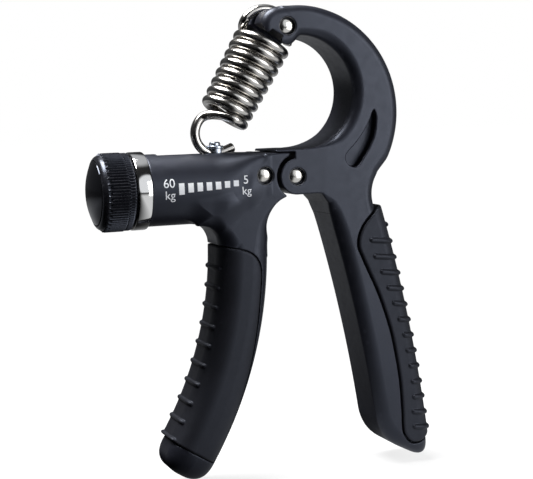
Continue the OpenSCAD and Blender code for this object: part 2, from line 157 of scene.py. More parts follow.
def box2(x, z, x0, x1, z0, z1):
    return np.maximum(np.abs(x - (x0 + x1) / 2) - (x1 - x0) / 2,
                      np.abs(z - (z0 + z1) / 2) - (z1 - z0) / 2)


def outline(x, z, pts):
    """Distance to a closed outline of straight edges, negative inside."""
    x, z = np.broadcast_arrays(x, z)
    near = np.full(x.shape, 1e9)
    sign = np.ones(x.shape)
    for i in range(len(pts)):
        ax, az = pts[i]
        bx, bz = pts[i - 1]
        ex, ez = bx - ax, bz - az
        wx, wz = x - ax, z - az
        t = np.clip((wx * ex + wz * ez) / (ex * ex + ez * ez), 0, 1)
        near = np.minimum(near, (wx - ex * t) ** 2 + (wz - ez * t) ** 2)
        above, below, left = z >= az, z < bz, ex * wz > ez * wx
        flip = (above & below & left) | (~above & ~below & ~left)
        sign = np.where(flip, -sign, sign)
    return sign * np.sqrt(near)


def slab(flat, y, half, r):
    """A flat outline given thickness, its edges rounded with radius r."""
    a, b = flat + r, np.abs(y) - half + r
    return np.hypot(np.maximum(a, 0), np.maximum(b, 0)) + np.minimum(np.maximum(a, b), 0) - r


def spline(pts, steps=5):
    """Smooth open curve through the points."""
    p = np.array([pts[0]] + list(pts) + [pts[-1]], float)
    out = []
    for i in range(1, len(p) - 2):
        for t in np.arange(steps) / steps:
            out.append(0.5 * ((2 * p[i]) + (p[i + 1] - p[i - 1]) * t
                              + (2 * p[i - 1] - 5 * p[i] + 4 * p[i + 1] - p[i + 2]) * t * t
                              + (3 * p[i] - p[i - 1] - 3 * p[i + 1] + p[i + 2]) * t ** 3))
    return [tuple(q) for q in out] + [tuple(p[-1])]


def to_spring(x, z):
    """Across and along of a point in the spring's own frame."""
    x, z = x - SPRING_C[0], z - SPRING_C[2]
    return x * EX[0] + z * EX[2], x * EZ[0] + z * EZ[2]


def bend_frame(x, z, bend):
    """Across and angle (degrees) of a point about a handle's far centre."""
    (cx, cz), r, _ = bend
    return np.hypot(x - cx, z - cz) - r, np.degrees(np.arctan2(z - cz, x - cx))


def past_end(x, z, ends):
    """Distance past the slanted lower end of a handle."""
    (x0, z0), (x1, z1) = ends
    length = math.hypot(x1 - x0, z1 - z0)
    return ((x - x0) * (z1 - z0) - (z - z0) * (x1 - x0)) / length


# ---------------------------------------------------------------- meshes
def link_new(name, data):
    obj = bpy.data.objects.new(name, data)
    bpy.context.scene.collection.objects.link(obj)
    return obj


def as_mesh(name, points, faces):
    """Mesh object from points in millimetres."""
    mesh = bpy.data.meshes.new(name)
    mesh.from_pydata(in_frame(points).tolist(), [], faces)
    mesh.update()
    return link_new(name, mesh)


def finish_piece(obj, material, body=None, nodes=()):
    """Gives a piece its material, parents it to its body's empty and hides the CAD nodes it stands
    for.
    """
    obj.data.materials.clear()
    obj.data.materials.append(material)
    if body:
        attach(obj, body)
    if nodes:
        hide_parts(*nodes)
    return obj


def smooth(obj, angle=None):
    obj.data.polygons.foreach_set("use_smooth", [True] * len(obj.data.polygons))
    if angle is not None:
        obj.data.set_sharp_from_angle(angle=math.radians(angle))
    obj.data.update()


def outward(obj):
    """Turns all faces outward."""
    bm = bmesh.new()
    bm.from_mesh(obj.data)
    bmesh.ops.recalc_face_normals(bm, faces=bm.faces)
    bm.to_mesh(obj.data)
    bm.free()


def slope(sdf, p, h=0.02):
    """Gradient of a signed distance at the points."""
    g = np.empty_like(p)
    for i in range(3):
        d = np.zeros(3)
        d[i] = h
        a, b = p + d, p - d
        g[:, i] = (sdf(a[:, 0], a[:, 1], a[:, 2]) - sdf(b[:, 0], b[:, 1], b[:, 2])) / (2 * h)
    return g


def surface(name, sdf, lo, hi, cell):
    """Mesh of a signed distance's zero surface, pulled onto it, with its exact normals."""
    axes = [np.arange(lo[i], hi[i] + cell, cell) for i in range(3)]
    field = sdf(axes[0][:, None, None], axes[1][None, :, None], axes[2][None, None, :])
    field = np.broadcast_to(field, [len(a) for a in axes])
    far = 3 * cell
    grid = openvdb.FloatGrid(far)
    grid.copyFromArray(np.ascontiguousarray(np.clip(field, -far, far), dtype=np.float32))
    points, tris, quads = grid.convertToPolygons(isovalue=0.0, adaptivity=0.0)
    p = np.array(points, float) * cell + np.array([a[0] for a in axes])
    for _ in range(3):
        value = sdf(p[:, 0], p[:, 1], p[:, 2])
        g = slope(sdf, p)
        step = g * (value / np.maximum((g * g).sum(1), 0.1))[:, None]
        length = np.linalg.norm(step, axis=1, keepdims=True)
        p = p - step * np.minimum(1, cell * 0.6 / np.maximum(length, 1e-9))
    n = slope(sdf, p)
    n /= np.maximum(np.linalg.norm(n, axis=1, keepdims=True), 1e-9)
    faces = np.array(quads, int)
    a, b, c = p[faces[:, 0]], p[faces[:, 1]], p[faces[:, 2]]
    if (np.einsum("ij,ij->i", np.cross(b - a, c - a), n[faces[:, 0]])).sum() < 0:
        faces = faces[:, ::-1]
    obj = as_mesh(name, p, faces.tolist() + [list(t) for t in tris])
    smooth(obj)
    obj.data.normals_split_custom_set_from_vertices(n.tolist())
    return obj


def arc(along, out, radius, degrees):
    """Points (along, radius) of a profile on a circle, at angles from the axis."""
    return [(along + radius * math.cos(a), out + radius * math.sin(a)) for a in np.radians(degrees)]


def dome(foot, half, rise, steps, share=1.0):
    """Profile of a shallow dome from its rim to its pole; a share under 1 leaves out the rim."""
    radius = (half ** 2 + rise ** 2) / (2 * rise)
    opened = math.degrees(math.asin(half / radius)) * share
    top = foot + rise
    return arc(top - radius, 0, radius, np.linspace(opened, 0, steps)[:-1]) + [(top, 0.0)]


def lathe(name, profile, origin, axis, segments=128, sharp=30):
    """Turned piece: profile is (along, radius) from one pole to the other."""
    axis = Vector(axis).normalized()
    e1 = axis.orthogonal().normalized()
    e2 = axis.cross(e1)
    points, faces, rows = [], [], []
    for s, r in profile:
        if r < 1e-6:
            rows.append([len(points)] * segments)
            points.append(Vector(origin) + axis * s)
        else:
            start = len(points)
            rows.append([start + k for k in range(segments)])
            for k in range(segments):
                a = 2 * math.pi * k / segments
                out = e1 * (r * math.cos(a)) + e2 * (r * math.sin(a))
                points.append(Vector(origin) + axis * s + out)
    closed = profile[0][1] > 1e-6
    pairs = list(zip(rows, rows[1:])) + ([(rows[-1], rows[0])] if closed else [])
    for lower, upper in pairs:
        for k in range(segments):
            m = (k + 1) % segments
            face = list(dict.fromkeys([lower[k], lower[m], upper[m], upper[k]]))
            if len(face) > 2:
                faces.append(face)
    obj = as_mesh(name, [tuple(p) for p in points], faces)
    outward(obj)
    smooth(obj, sharp)
    return obj


# ---------------------------------------------------------------- materials
def shader(name):
    material = bpy.data.materials.new(name)
    material.use_nodes = True
    tree = material.node_tree
    return material, tree, tree.nodes["Principled BSDF"]


def put(tree, kind, inputs=None, **settings):
    n = tree.nodes.new(kind)
    for key, value in settings.items():
        setattr(n, key, value)
    for key, value in (inputs or {}).items():
        if isinstance(value, bpy.types.NodeSocket):
            tree.links.new(value, n.inputs[key])
        else:
            n.inputs[key].default_value = value
    return n


def noise(tree, where, scale, detail=4.0, rough=0.55):
    n = put(tree, "ShaderNodeTexNoise",
            {"Vector": where, "Scale": scale, "Detail": detail, "Roughness": rough})
    return n.outputs["Fac"]


def ramp(tree, fac, low, high, to_low, to_high):
    return put(tree, "ShaderNodeMapRange",
               {"Value": fac, "From Min": low, "From Max": high,
                "To Min": to_low, "To Max": to_high}).outputs["Result"]


def mix_colour(tree, fac, a, b):
    n = put(tree, "ShaderNodeMix", data_type="RGBA")
    for key, value in ((0, fac), (6, a), (7, b)):
        if isinstance(value, bpy.types.NodeSocket):
            tree.links.new(value, n.inputs[key])
        else:
            n.inputs[key].default_value = value
    return n.outputs[2]


def maths(tree, operation, a, b=0.0):
    return put(tree, "ShaderNodeMath", {0: a, 1: b}, operation=operation).outputs[0]


def moulded(name, dark, light, rough, grain_mm, grain_depth, worn=0.25, gloss=0.5, sheen=0.0):
    """Moulded plastic or rubber: fine spark-eroded grain, slow tone shifts, paler worn edges."""
    material, tree, out = shader(name)
    where = put(tree, "ShaderNodeTexCoord").outputs["Object"]
    slow = noise(tree, where, 70, 3)
    blotch = noise(tree, where, 420, 4)
    grain = noise(tree, where, 1000 / grain_mm, 2, 0.6)
    edge = put(tree, "ShaderNodeNewGeometry").outputs["Pointiness"]
    edge = ramp(tree, edge, 0.502, 0.54, 0.0, worn)
    tone = mix_colour(tree, ramp(tree, slow, 0.35, 0.65, 0.0, 1.0), dark, light)
    rub = maths(tree, "MULTIPLY", edge, ramp(tree, blotch, 0.35, 0.6, 0.3, 1.0))
    tone = mix_colour(tree, rub, tone, [min(1, c * 2.6 + 0.01) for c in light[:3]] + [1])
    tree.links.new(tone, out.inputs["Base Color"])
    polish = ramp(tree, maths(tree, "ADD", blotch, grain), 0.7, 1.3, rough - 0.06, rough + 0.06)
    tree.links.new(polish, out.inputs["Roughness"])
    out.inputs["Specular IOR Level"].default_value = gloss
    out.inputs["Specular Tint"].default_value = (0.74, 0.81, 1.0, 1)
    if sheen:
        out.inputs["Sheen Weight"].default_value = sheen
        out.inputs["Sheen Roughness"].default_value = 0.4
    bump = put(tree, "ShaderNodeBump",
               {"Height": grain, "Strength": 0.6, "Distance": grain_depth * MM})
    swell = put(tree, "ShaderNodeBump", {"Height": slow, "Strength": 0.25, "Distance": 0.05 * MM,
                                         "Normal": bump.outputs["Normal"]})
    tree.links.new(swell.outputs["Normal"], out.inputs["Normal"])
    return material


def metal(name, colour, rough, streak=None, tarnish=0.15, scratch=0.004, tint=(0.5, 0.45, 0.4, 1)):
    """Plated metal: fine drawn or turned lines, faint tarnish patches, uneven polish."""
    material, tree, out = shader(name)
    coords = put(tree, "ShaderNodeTexCoord")
    where = coords.outputs["Object"]
    lined = where if streak is None else coords.outputs["UV"]
    stretch = put(tree, "ShaderNodeMapping", {"Vector": lined, "Scale": streak or (900, 900, 900)})
    lines = noise(tree, stretch.outputs["Vector"], 1.0 if streak else 1.6, 3, 0.65)
    patches = noise(tree, where, 260, 4)
    tone = mix_colour(tree, ramp(tree, patches, 0.45, 0.75, 0.0, tarnish), colour, tint)
    tree.links.new(tone, out.inputs["Base Color"])
    out.inputs["Metallic"].default_value = 1.0
    wear = maths(tree, "ADD", lines, patches)
    tree.links.new(ramp(tree, wear, 0.7, 1.35, rough * 0.65, rough * 1.5), out.inputs["Roughness"])
    bump = put(tree, "ShaderNodeBump", {"Height": lines, "Strength": 0.5, "Distance": scratch * MM})
    tree.links.new(bump.outputs["Normal"], out.inputs["Normal"])
    return material


# name, darker and lighter tone, roughness, grain size (mm), grain depth (mm)
ARM = moulded("arm_plastic_black", (0.0075, 0.0078, 0.011, 1), (0.0105, 0.011, 0.016, 1),
              0.39, 0.28, 0.012)
GRIP = moulded("grip_rubber_black", (0.0065, 0.0065, 0.0085, 1), (0.009, 0.009, 0.012, 1),
               0.52, 0.35, 0.018, worn=0.15, gloss=0.42, sheen=0.02)
KNOB = moulded("knob_plastic_black", (0.005, 0.005, 0.0065, 1), (0.007, 0.007, 0.009, 1),
               0.29, 0.25, 0.008, worn=0.8, gloss=0.6)
CAP = moulded("cap_gloss_black", (0.003, 0.003, 0.0035, 1), (0.004, 0.004, 0.005, 1),
              0.13, 0.9, 0.003, worn=0.1)
INK = moulded("scale_print_white", (0.88, 0.89, 0.92, 1), (0.95, 0.96, 0.97, 1),
              0.5, 0.2, 0.004, worn=0.0)
BUSH = moulded("bush_nylon", (0.55, 0.53, 0.47, 1), (0.62, 0.60, 0.54, 1),
               0.45, 0.3, 0.01, worn=0.0)
CHROME = metal("collar_chrome", (0.83, 0.82, 0.80, 1), 0.08, None, 0.05, 0.0008)
SPRING = metal("spring_nickel", (0.60, 0.58, 0.55, 1), 0.20, (0.35, 22.0, 1.0), 0.35, 0.010,
               (0.30, 0.26, 0.22, 1))
RIVET = metal("rivet_nickel", (0.70, 0.68, 0.64, 1), 0.17, None, 0.25, 0.006, (0.42, 0.36, 0.28, 1))
ZINC = metal("eye_zinc", (0.55, 0.60, 0.68, 1), 0.26, None, 0.5, 0.010, (0.40, 0.46, 0.58, 1))
STEEL = metal("plate_steel", (0.42, 0.43, 0.45, 1), 0.30, None, 0.3, 0.008, (0.22, 0.21, 0.20, 1))


# ---------------------------------------------------------------- right arm: C hook and handle
RIGHT_KEEP = [
    (-3.5, 60), (60, 60), (60, -20), (31, -20), (17.5, -20), (13.3, -16), (11.9, -11.6),
    (11.35, -9.6), (10.8, -8.1), (9.9, -6.95), (8.7, -6.25), (7.4, -6.0), (4, -6.05), (0, -6.1),
    (-0.8, -5), (-0.8, 8.35), (-7.5, 8.35), (-7.5, 9.2), (-3.5, 30),
]
RIGHT_NECK = [(5, 8), (30, 8), (31.3, 0), (40.5, -7.5), (34, -16), (28, -20), (17, -20),
              (13.3, -16), (11.35, -9.6), (8.7, -6.2)]
RIGHT_END = ((30.6, -93.9), (41.0, -99.3))     # the slanted lower end of the handle
RIGHT_EDGE = 4.4
FORK_HALF, FORK_END = 2.1, 5.6
HINGE_SLOT = 2.05
CRESCENT_DEPTH = 3.4


def right_outline(x, z):
    across, angle = bend_frame(x, z, RIGHT_BEND)
    handle = np.abs(across) - RIGHT_BEND[2]
    handle = smax(handle, past_end(x, z, RIGHT_END), 7.0)
    handle = np.maximum(handle, np.radians(angle - 18.5) * RIGHT_BEND[1])
    hook = np.maximum(disc(x, z, HOOK_OUT), outline(x, z, RIGHT_KEEP))
    hook = np.minimum(hook, outline(x, z, RIGHT_NECK))
    hook = np.minimum(hook, handle)
    hook = smax(hook, -disc(x, z, HOOK_IN), 0.3)
    hook = smax(hook, -box2(x, z, -20, HOOK_IN[0][0], 9.2, HOOK_IN[0][1]), 0.3)
    hook = smax(hook, -disc(x, z, NECK), 1.8)
    hook = smin(hook, np.minimum(disc(x, z, TIP), disc(x, z, NOSE)), 1.2)
    return np.minimum(hook, disc(x, z, (HINGE_RIVET, LUG_R)))


CRESCENT = spline([
    (28.6, 21.3), (29.3, 19.2), (29.1, 15.5), (28.2, 11.9), (26.4, 8.3), (24.3, 5.3), (22.5, 2.9),
    (20.8, 2.2), (18.9, 3.0), (17.9, 4.3), (17.7, 5.9), (18.6, 7.4), (20.7, 9.4), (23.1, 12.1),
    (25.2, 15.0), (27.0, 18.3), (27.9, 20.5), (28.6, 21.3),
], 3)[:-1]


def rivet_recess(x, y, z, at):
    return np.maximum(disc(x, z, (at, RECESS_R)), HALF_T - RECESS - np.abs(y))


def ear_relief(x, y, z):
    """Room for the spring's top turn under the ears of the fork."""
    across, along = to_spring(x, z)
    return np.maximum(np.hypot(across, y) - RELIEF_R, span(along, RELIEF_SPAN))


def right_arm(x, y, z):
    """Signed distance of the right arm: outline, crescents, recesses, slots and grip seat."""
    flat = right_outline(x, z)
    reach = np.hypot(x, z)
    r = 0.5 + 3.1 * ease((reach - 9) / 12)
    tip = ease((14 - x) / 10) * ease((z - 34) / 6)
    r = r * (1 - tip) + 2.8 * tip
    low = ease((-10 - z) / 10)
    r = r * (1 - low) + RIGHT_EDGE * low
    ridge = 0.22 * low * ease((22 - x) / 4 + (-z - 10) / 12)
    d = smax(slab(flat - ridge, y, HALF_T, r + ridge), flat, 0.12)
    side = np.abs(y)
    d = smax(d, -smax(outline(x, z, CRESCENT), HALF_T - CRESCENT_DEPTH - side, 0.9), 0.5)
    for at in (HINGE_RIVET, SPRING_RIVET):
        d = smax(d, -rivet_recess(x, y, z, at), 0.45)
    slot = np.minimum(disc(x, z, (HINGE_RIVET, 5.6)), box2(x, z, -9, 0, -9, 8.2))
    d = smax(d, -np.maximum(slot, side - HINGE_SLOT), 0.3)
    fork = box2(x, z, -14, FORK_END, 36, 66)
    d = smax(d, -smax(fork, side - FORK_HALF, 0.8), 0.7)
    d = smax(d, -ear_relief(x, y, z), 0.5)
    pocket = np.maximum(right_grip_flat(x, z) - 0.45, -(d + SEAT_DEPTH))
    return smax(d, -pocket, 0.35)


RIGHT_GRIP_EDGE = spline([
    (31.6, -10.6), (29.6, -11.5), (27.8, -13.2), (25.2, -15.7), (23.0, -18.5), (21.6, -22.1),
    (21.5, -25.3), (22.7, -28.4), (25.4, -34.5), (28.2, -40.7), (30.9, -48.2), (33.2, -56.0),
    (35.1, -65.8), (36.2, -73.5), (36.8, -83.3), (36.9, -88.3), (37.5, -92.2), (40.0, -95.3),
    (43.3, -95.9), (46.4, -94.6), (48.8, -93.2),
]) + [(62, -90), (62, -8)]


def right_grip_flat(x, z):
    """The right grip's edge on the face, as read from the photograph."""
    return outline(x, z, RIGHT_GRIP_EDGE) + 0.25


RIGHT_RIBS = [
    ((32.9, -18.1), (33.6, -18.2)), ((25.8, -22.9), (35.1, -23.9)), ((27.0, -28.6), (36.6, -29.6)),
    ((29.5, -34.1), (38.0, -35.2)), ((31.8, -39.8), (39.2, -40.8)), ((33.8, -45.3), (40.2, -46.4)),
    ((35.7, -51.1), (41.6, -51.9)), ((37.5, -56.8), (42.6, -57.4)), ((38.6, -62.4), (43.6, -63.0)),
    ((39.6, -67.9), (44.6, -68.5)), ((40.4, -73.6), (45.6, -74.1)), ((40.8, -79.1), (46.5, -79.5)),
    ((40.5, -84.3), (47.4, -85.3)), ((40.8, -89.7), (48.2, -90.7)),
]
RIB_R = 0.85
GRIP_PROUD = 1.2                                # rise of the grips on their outer sides
LEFT_PROUD_IN = 0.1                             # and of the left one on its inner side
RIGHT_LIFT, LEFT_LIFT = 0.2, 0.55               # and on the faces


def right_grip(x, y, z):
    across, _ = bend_frame(x, z, RIGHT_BEND)
    flat = span(across, (GRIP_PROUD / 2, RIGHT_BEND[2] + GRIP_PROUD / 2))
    outer = slab(flat, y, HALF_T + RIGHT_LIFT, RIGHT_EDGE + 0.2)
    top = outer
    for (x0, z0), (x1, z1) in RIGHT_RIBS:
        tilt = (z1 - z0) / max(x1 - x0, 3.0)
        off = z - (z0 + (x - x0) * tilt)
        rib = np.sqrt(off ** 2 + (outer + 0.05) ** 2 + np.maximum(x0 + RIB_R - x, 0) ** 2) - RIB_R
        top = smin(top, rib, 0.35)
    inner = slab(np.abs(across) - RIGHT_BEND[2], y, HALF_T, RIGHT_EDGE) + GRIP_INNER
    d = smax(top, right_grip_flat(x, z) + 0.25, 0.9)
    return smax(d, -inner, 0.2)


# ---------------------------------------------------------------- left arm: barrel, seat and handle
LEFT_WEB = [(-34.2, -8), (-22, -6), (-12.5, 6.2), (-11, 8.2), (-2.4, 8.2), (-3.5, -7.75),
            (-9.6, -16), (-9.6, -27), (-27.3, -27), (-34.2, -14.5)]
LEFT_FILLET = ((-34.0, -21.2), 6.7)
LEFT_END = ((-50.0, -93.4), (-33.0, -104.2))
LEFT_EDGE = 6.6
PLATE_HALF = 1.54
BARREL_FADE, BLOCK_DROP, BLOCK_EDGE = 1.35, 0.95, 2.0


def left_outline(x, z):
    across, angle = bend_frame(x, z, LEFT_BEND)
    handle = np.abs(across) - LEFT_BEND[2]
    handle = smax(handle, past_end(x, z, LEFT_END), 7.5)
    handle = np.maximum(handle, np.radians(angle - 3.0) * LEFT_BEND[1])
    web = outline(x, z, LEFT_WEB)
    web = smax(web, -disc(x, z, LEFT_FILLET), 0.4)
    return smax(np.minimum(web, handle), -disc(x, z, CROTCH), 0.8)


def plate_flat(x, z):
    """The hinge plate's outline: two eyes and the link between them."""
    link = box2(x, z, ARM_RIVET[0], 0, -4.4, 4.4 + 0.4)
    eyes = np.minimum(disc(x, z, (ARM_RIVET, PLATE_R)), disc(x, z, (HINGE_RIVET, PLATE_R)))
    return np.minimum(eyes, link)


def barrel_skin(x, y, z):
    """Round barrel whose upper half turns into a rounded block towards the hinge."""
    t = ease((x + 29) / 19)
    half_y = BARREL_R - BARREL_FADE * t
    half_z = BARREL_R - BLOCK_DROP * t
    r = half_y * (1 - t) + BLOCK_EDGE * t
    up = z - BARREL_Z
    a, b = np.abs(y) - half_y + r, np.maximum(up, 0) - half_z + r
    block = np.hypot(np.maximum(a, 0), np.maximum(b, 0)) + np.minimum(np.maximum(a, b), 0) - r
    return np.where(up > 0, block, np.hypot(y, up) - half_y)


def left_arm(x, y, z):
    """Signed distance of the left arm: web, barrel, spigot, bore, slot, recesses and grip seat."""
    flat = left_outline(x, z)
    r = 0.9 + 1.8 * ease((-x - 7) / 9)
    low = np.maximum(ease((-9 - z) / 15), ease((-22 - x) / 9))
    r = r * (1 - low) + LEFT_EDGE * low
    web = slab(flat, y, HALF_T, r)
    around = np.hypot(y, z - BARREL_Z)
    # widest in the hollow between barrel and handle, next to none along the lower outline
    hollow = ease((-z - 1) / 6) * ease((-x - 17) / 9)
    blend = 0.6 + ease((np.abs(y) - 3) / 5) * (2.2 * ease((-x - 11) / 6) + 4.0 * hollow)
    d = smin(web, smax(barrel_skin(x, y, z), span(x, BARREL_SPAN), 0.5), blend)
    d = smax(d, -disc(x, z, CROTCH), 0.8)
    d = smax(d, SHOULDER_X - x, 0.4)
    d = np.minimum(d, np.maximum(around - SPIGOT_R, span(x, SPIGOT_SPAN)))
    d = smax(d, -disc(x, z, SOCKET), 0.7)
    d = smax(d, -np.maximum(around - BORE_R, x - BORE_END), 0.3)
    slot = np.maximum(box2(x, y, SLOT[0], SLOT[1], -SLOT[2], SLOT[2]), 3 - z)
    d = smax(d, -slot, 0.5)
    d = smax(d, -np.maximum(plate_flat(x, z) - 0.02, np.abs(y) - PLATE_HALF), 0.2)
    d = smax(d, -rivet_recess(x, y, z, ARM_RIVET), 0.45)
    pocket = np.maximum(left_grip_flat(x, z) - 0.22, -(d + SEAT_DEPTH))
    return smax(d, -pocket, 0.3)


def left_grip_flat(x, z):
    """The left grip's edge on the face: a long side, a rounded top and a square lower end."""
    across, angle = bend_frame(x, z, LEFT_BEND)
    side = across - (4.9 + 2.6 * ease((-z - 34) / 52))
    top = (z + 22.9 + 0.2 * (x + 22.2)) * 0.98
    bottom = np.radians(-32.2 - angle) * LEFT_BEND[1]
    return smax(smax(side, top, 8.5), bottom, 1.5)


LEFT_RIB_ENDS = [
    (-26.5, -29.5), (-27.1, -36.1), (-28.1, -42.6), (-29.4, -49.1), (-31.0, -55.4),
    (-33.1, -61.8), (-35.5, -68.0), (-38.1, -74.1), (-41.2, -80.0), (-44.6, -85.7),
]
LEFT_RIB_REACH = 6.4


def left_grip(x, y, z):
    across, angle = bend_frame(x, z, LEFT_BEND)
    wider = (GRIP_PROUD + LEFT_PROUD_IN) / 2
    flat = span(across, (LEFT_PROUD_IN - wider, LEFT_BEND[2] + wider))
    outer = slab(flat, y, HALF_T + LEFT_LIFT, LEFT_EDGE + 1)
    top = outer
    for rib_x, rib_z in LEFT_RIB_ENDS:
        off = np.radians(angle - bend_frame(rib_x, rib_z, LEFT_BEND)[1]) * LEFT_BEND[1]
        rib = np.sqrt(off ** 2 + (outer + 0.1) ** 2 + np.maximum(np.abs(y) - LEFT_RIB_REACH, 0) ** 2
                      + np.maximum(across + 4, 0) ** 2) - RIB_R
        top = smin(top, rib, 0.3)
    inner = slab(np.abs(across) - LEFT_BEND[2], y, HALF_T, LEFT_EDGE) + GRIP_INNER
    d = smax(top, left_grip_flat(x, z), 0.8)
    return smax(d, -inner, 0.2)


DEEP = HALF_T + 1.2                             # half depth of the right arm's box of samples
arm_r = surface("right_arm_shell", right_arm, (-13, -DEEP, -102), (50, DEEP, 58.5), ARM_CELL)
finish_piece(arm_r, ARM, "right_side", ["right_arm"])
grip_r = surface("right_grip_shell", right_grip, (18, -13, -99), (52, 13, -8), FINE_CELL)
finish_piece(grip_r, GRIP, "right_side", ["right_grip"])
arm_l = surface("left_arm_shell", left_arm, (-57, -13.2, -105), (0, 13.2, 11), ARM_CELL)
finish_piece(arm_l, ARM, "left_side", ["left_arm"])
grip_l = surface("left_grip_shell", left_grip, (-54, -13, -99), (-8, 13, -19), FINE_CELL)
finish_piece(grip_l, GRIP, "left_side", ["left_grip"])


# ---------------------------------------------------------------- turned pieces
BARREL_AXIS = (0, 0, BARREL_Z)
collar = lathe("collar_ring", [
    (50.62, 10.97), (50.62, 12.45), (50.78, 12.7), (51.1, 12.8), (54.9, 12.8), (55.2, 12.72),
    (55.38, 12.5), (55.38, 10.97)], BARREL_AXIS, (-1, 0, 0), 192)
finish_piece(collar, CHROME, "left_side", ["collar"])


def wave(phase):
    return 0.5 - 0.5 * math.cos(2 * math.pi * phase)


KNOB_X = 55.6
RIDGES = 80
KNOB_BASE, KNOB_BORE = 12.1, 3.2
RIDGE_H, BAND_H = 0.78, 0.6
RIDGE_FROM = 2.25                               # where the ridges begin, from the collar's side
RIDGE_ENDS = (8.5, 9.5)                         # they end at one or the other, in turn


def knob_mesh():
    """Knob: fine ridges of two lengths, a band of short ones by the collar, a round shoulder."""
    per = 8
    segments = RIDGES * per
    side = np.concatenate([[0.15], np.linspace(0.3, 2.6, 12), np.linspace(2.75, 9.6, 28)])
    rows = [(0.0, KNOB_BORE), (0.0, KNOB_BASE - 0.15)] + [(s, KNOB_BASE) for s in side]
    rows += arc(9.0, 10.1, 2.15, np.linspace(88, 20, 13))
    rows += [(10.75, 10.62), (10.3, 10.5), (10.3, 0.0)]
    points, faces, start = [], [], []
    for i, (s, r) in enumerate(rows):
        start.append(len(points))
        if r == 0:
            points.append((-KNOB_X - s, 0, BARREL_Z))
            continue
        for k in range(segments):
            a = 2 * math.pi * k / segments
            ridge = k // per
            phase = (k % per) / per
            far = RIDGE_ENDS[ridge % 2]
            main = RIDGE_H * ease((s - RIDGE_FROM) / 0.4) * ease((far - s) / 0.5)
            band = BAND_H * ease((s - 0.25) / 0.35) * ease((2.45 - s) / 0.3)
            on_side = 1 < i < len(side) + 2
            h = main * wave(phase) ** 1.2 + band * wave(phase + 0.5) if on_side else 0
            points.append((-KNOB_X - s, -(r + h) * math.cos(a), BARREL_Z + (r + h) * math.sin(a)))
    for i in range(len(rows) - 1):
        for k in range(segments):
            m = (k + 1) % segments
            if rows[i + 1][1] == 0:
                faces.append([start[i] + k, start[i] + m, start[i + 1]])
            else:
                faces.append([start[i] + k, start[i] + m, start[i + 1] + m, start[i + 1] + k])
    faces.append([start[0] + k for k in range(segments)])
    obj = as_mesh("knob_ridged", points, faces)
    outward(obj)
    smooth(obj, 50)
    return obj


finish_piece(knob_mesh(), KNOB, "adjuster", ["knob"])


CAP_R, CAP_RIM, CAP_TOP, CAP_FOOT = 10.45, 11.15, 13.55, 10.2
cap_profile = [(CAP_FOOT, 0.0), (CAP_FOOT, CAP_R)]
cap_profile += [(CAP_RIM - 0.25, CAP_R), (CAP_RIM - 0.06, CAP_R - 0.07)]
cap_profile += dome(CAP_RIM, CAP_R, CAP_TOP - CAP_RIM, 28, 0.985)
cap_profile = [(s + KNOB_X, r) for s, r in cap_profile]
cap = lathe("knob_cap_dome", cap_profile, BARREL_AXIS, (-1, 0, 0), 160)
finish_piece(cap, CAP, "adjuster", ["knob_cap"])


RIVET_RISE, RIVET_RIM = 0.6, 0.25               # height of the dome and of the rim under it


def rivet_piece(name, at, shank, head, body, node):
    """Rivet through both faces, its two heads sunk in their recesses."""
    seat = HALF_T - RECESS
    one_side = [(seat, shank), (seat, head - 0.05), (seat + 0.08, head)]
    one_side += dome(seat + RIVET_RIM, head, RIVET_RISE, 14)
    profile = [(-s, r) for s, r in one_side[::-1]] + one_side
    obj = lathe(name, profile, (at[0], 0, at[1]), (0, 1, 0), 72, 40)
    finish_piece(obj, RIVET, body, [node])


rivet_piece("arm_rivet_domed", ARM_RIVET, 1.7, 2.5, "left_side", "arm_rivet")
rivet_piece("hinge_rivet_domed", HINGE_RIVET, 1.7, 2.5, "right_side", "hinge_rivet")
rivet_piece("spring_rivet_domed", SPRING_RIVET, 2.0, 2.55, "right_side", "spring_rivet")


# radius, middle height and half height of the stud's three parts
STUD_FOOT, STUD_TOP, STUD_BAND = (2.9, 6.3, 4.75), (1.85, 8, 4.3), (3.05, 10.6, 0.35)
EYE_HOLE_Z, EYE_HOLE_R = 8.75, 2.15
EYE_FLARE = 0.04                                # the hole opens out where the wire rocks in it
EYE_CELL = 0.14


def stud(x, y, z):
    """Spring eye: a shouldered stud with a cross hole for the spring's lower loop."""
    around = np.hypot(x - EYE_X, y)

    def part(spec, r):
        return smax(around - spec[0], span(z, spec[1:]), r)

    d = smin(part(STUD_FOOT, 0.5), part(STUD_TOP, 0.7), 0.25)
    d = smin(d, part(STUD_BAND, 0.2), 0.2)
    hole = np.hypot(y, z - EYE_HOLE_Z) - EYE_HOLE_R - EYE_FLARE * (x - EYE_X) ** 2
    return smax(d, -hole, 0.3)


eye = surface("spring_eye_stud", stud, (EYE_X - 4, -4, 0.8), (EYE_X + 4, 4, 13), EYE_CELL)
finish_piece(eye, ZINC, "nut_carriage", ["spring_eye"])


# ---------------------------------------------------------------- spring
def unit(v):
    return v / np.linalg.norm(v)


def coil_point(a):
    """The coil widens from R_LOW to R_HIGH on its way up."""
    share = min(1, max(0, a / (360 * TURNS)))
    r = R_LOW + (R_HIGH - R_LOW) * share
    t = math.radians(a)
    return np.array([r * math.cos(t), r * math.sin(t), COIL_Z + PITCH * a / 360])


def coil_way(a):
    return unit(coil_point(a + 1) - coil_point(a - 1))


def loop_point(loop, a):
    (x, z), r = loop
    t = math.radians(a)
    return np.array([x + r * math.cos(t), 0, z + r * math.sin(t)])


def loop_way(a):
    """Direction on a loop that is run clockwise."""
    t = math.radians(a)
    return np.array([math.sin(t), 0, -math.cos(t)])


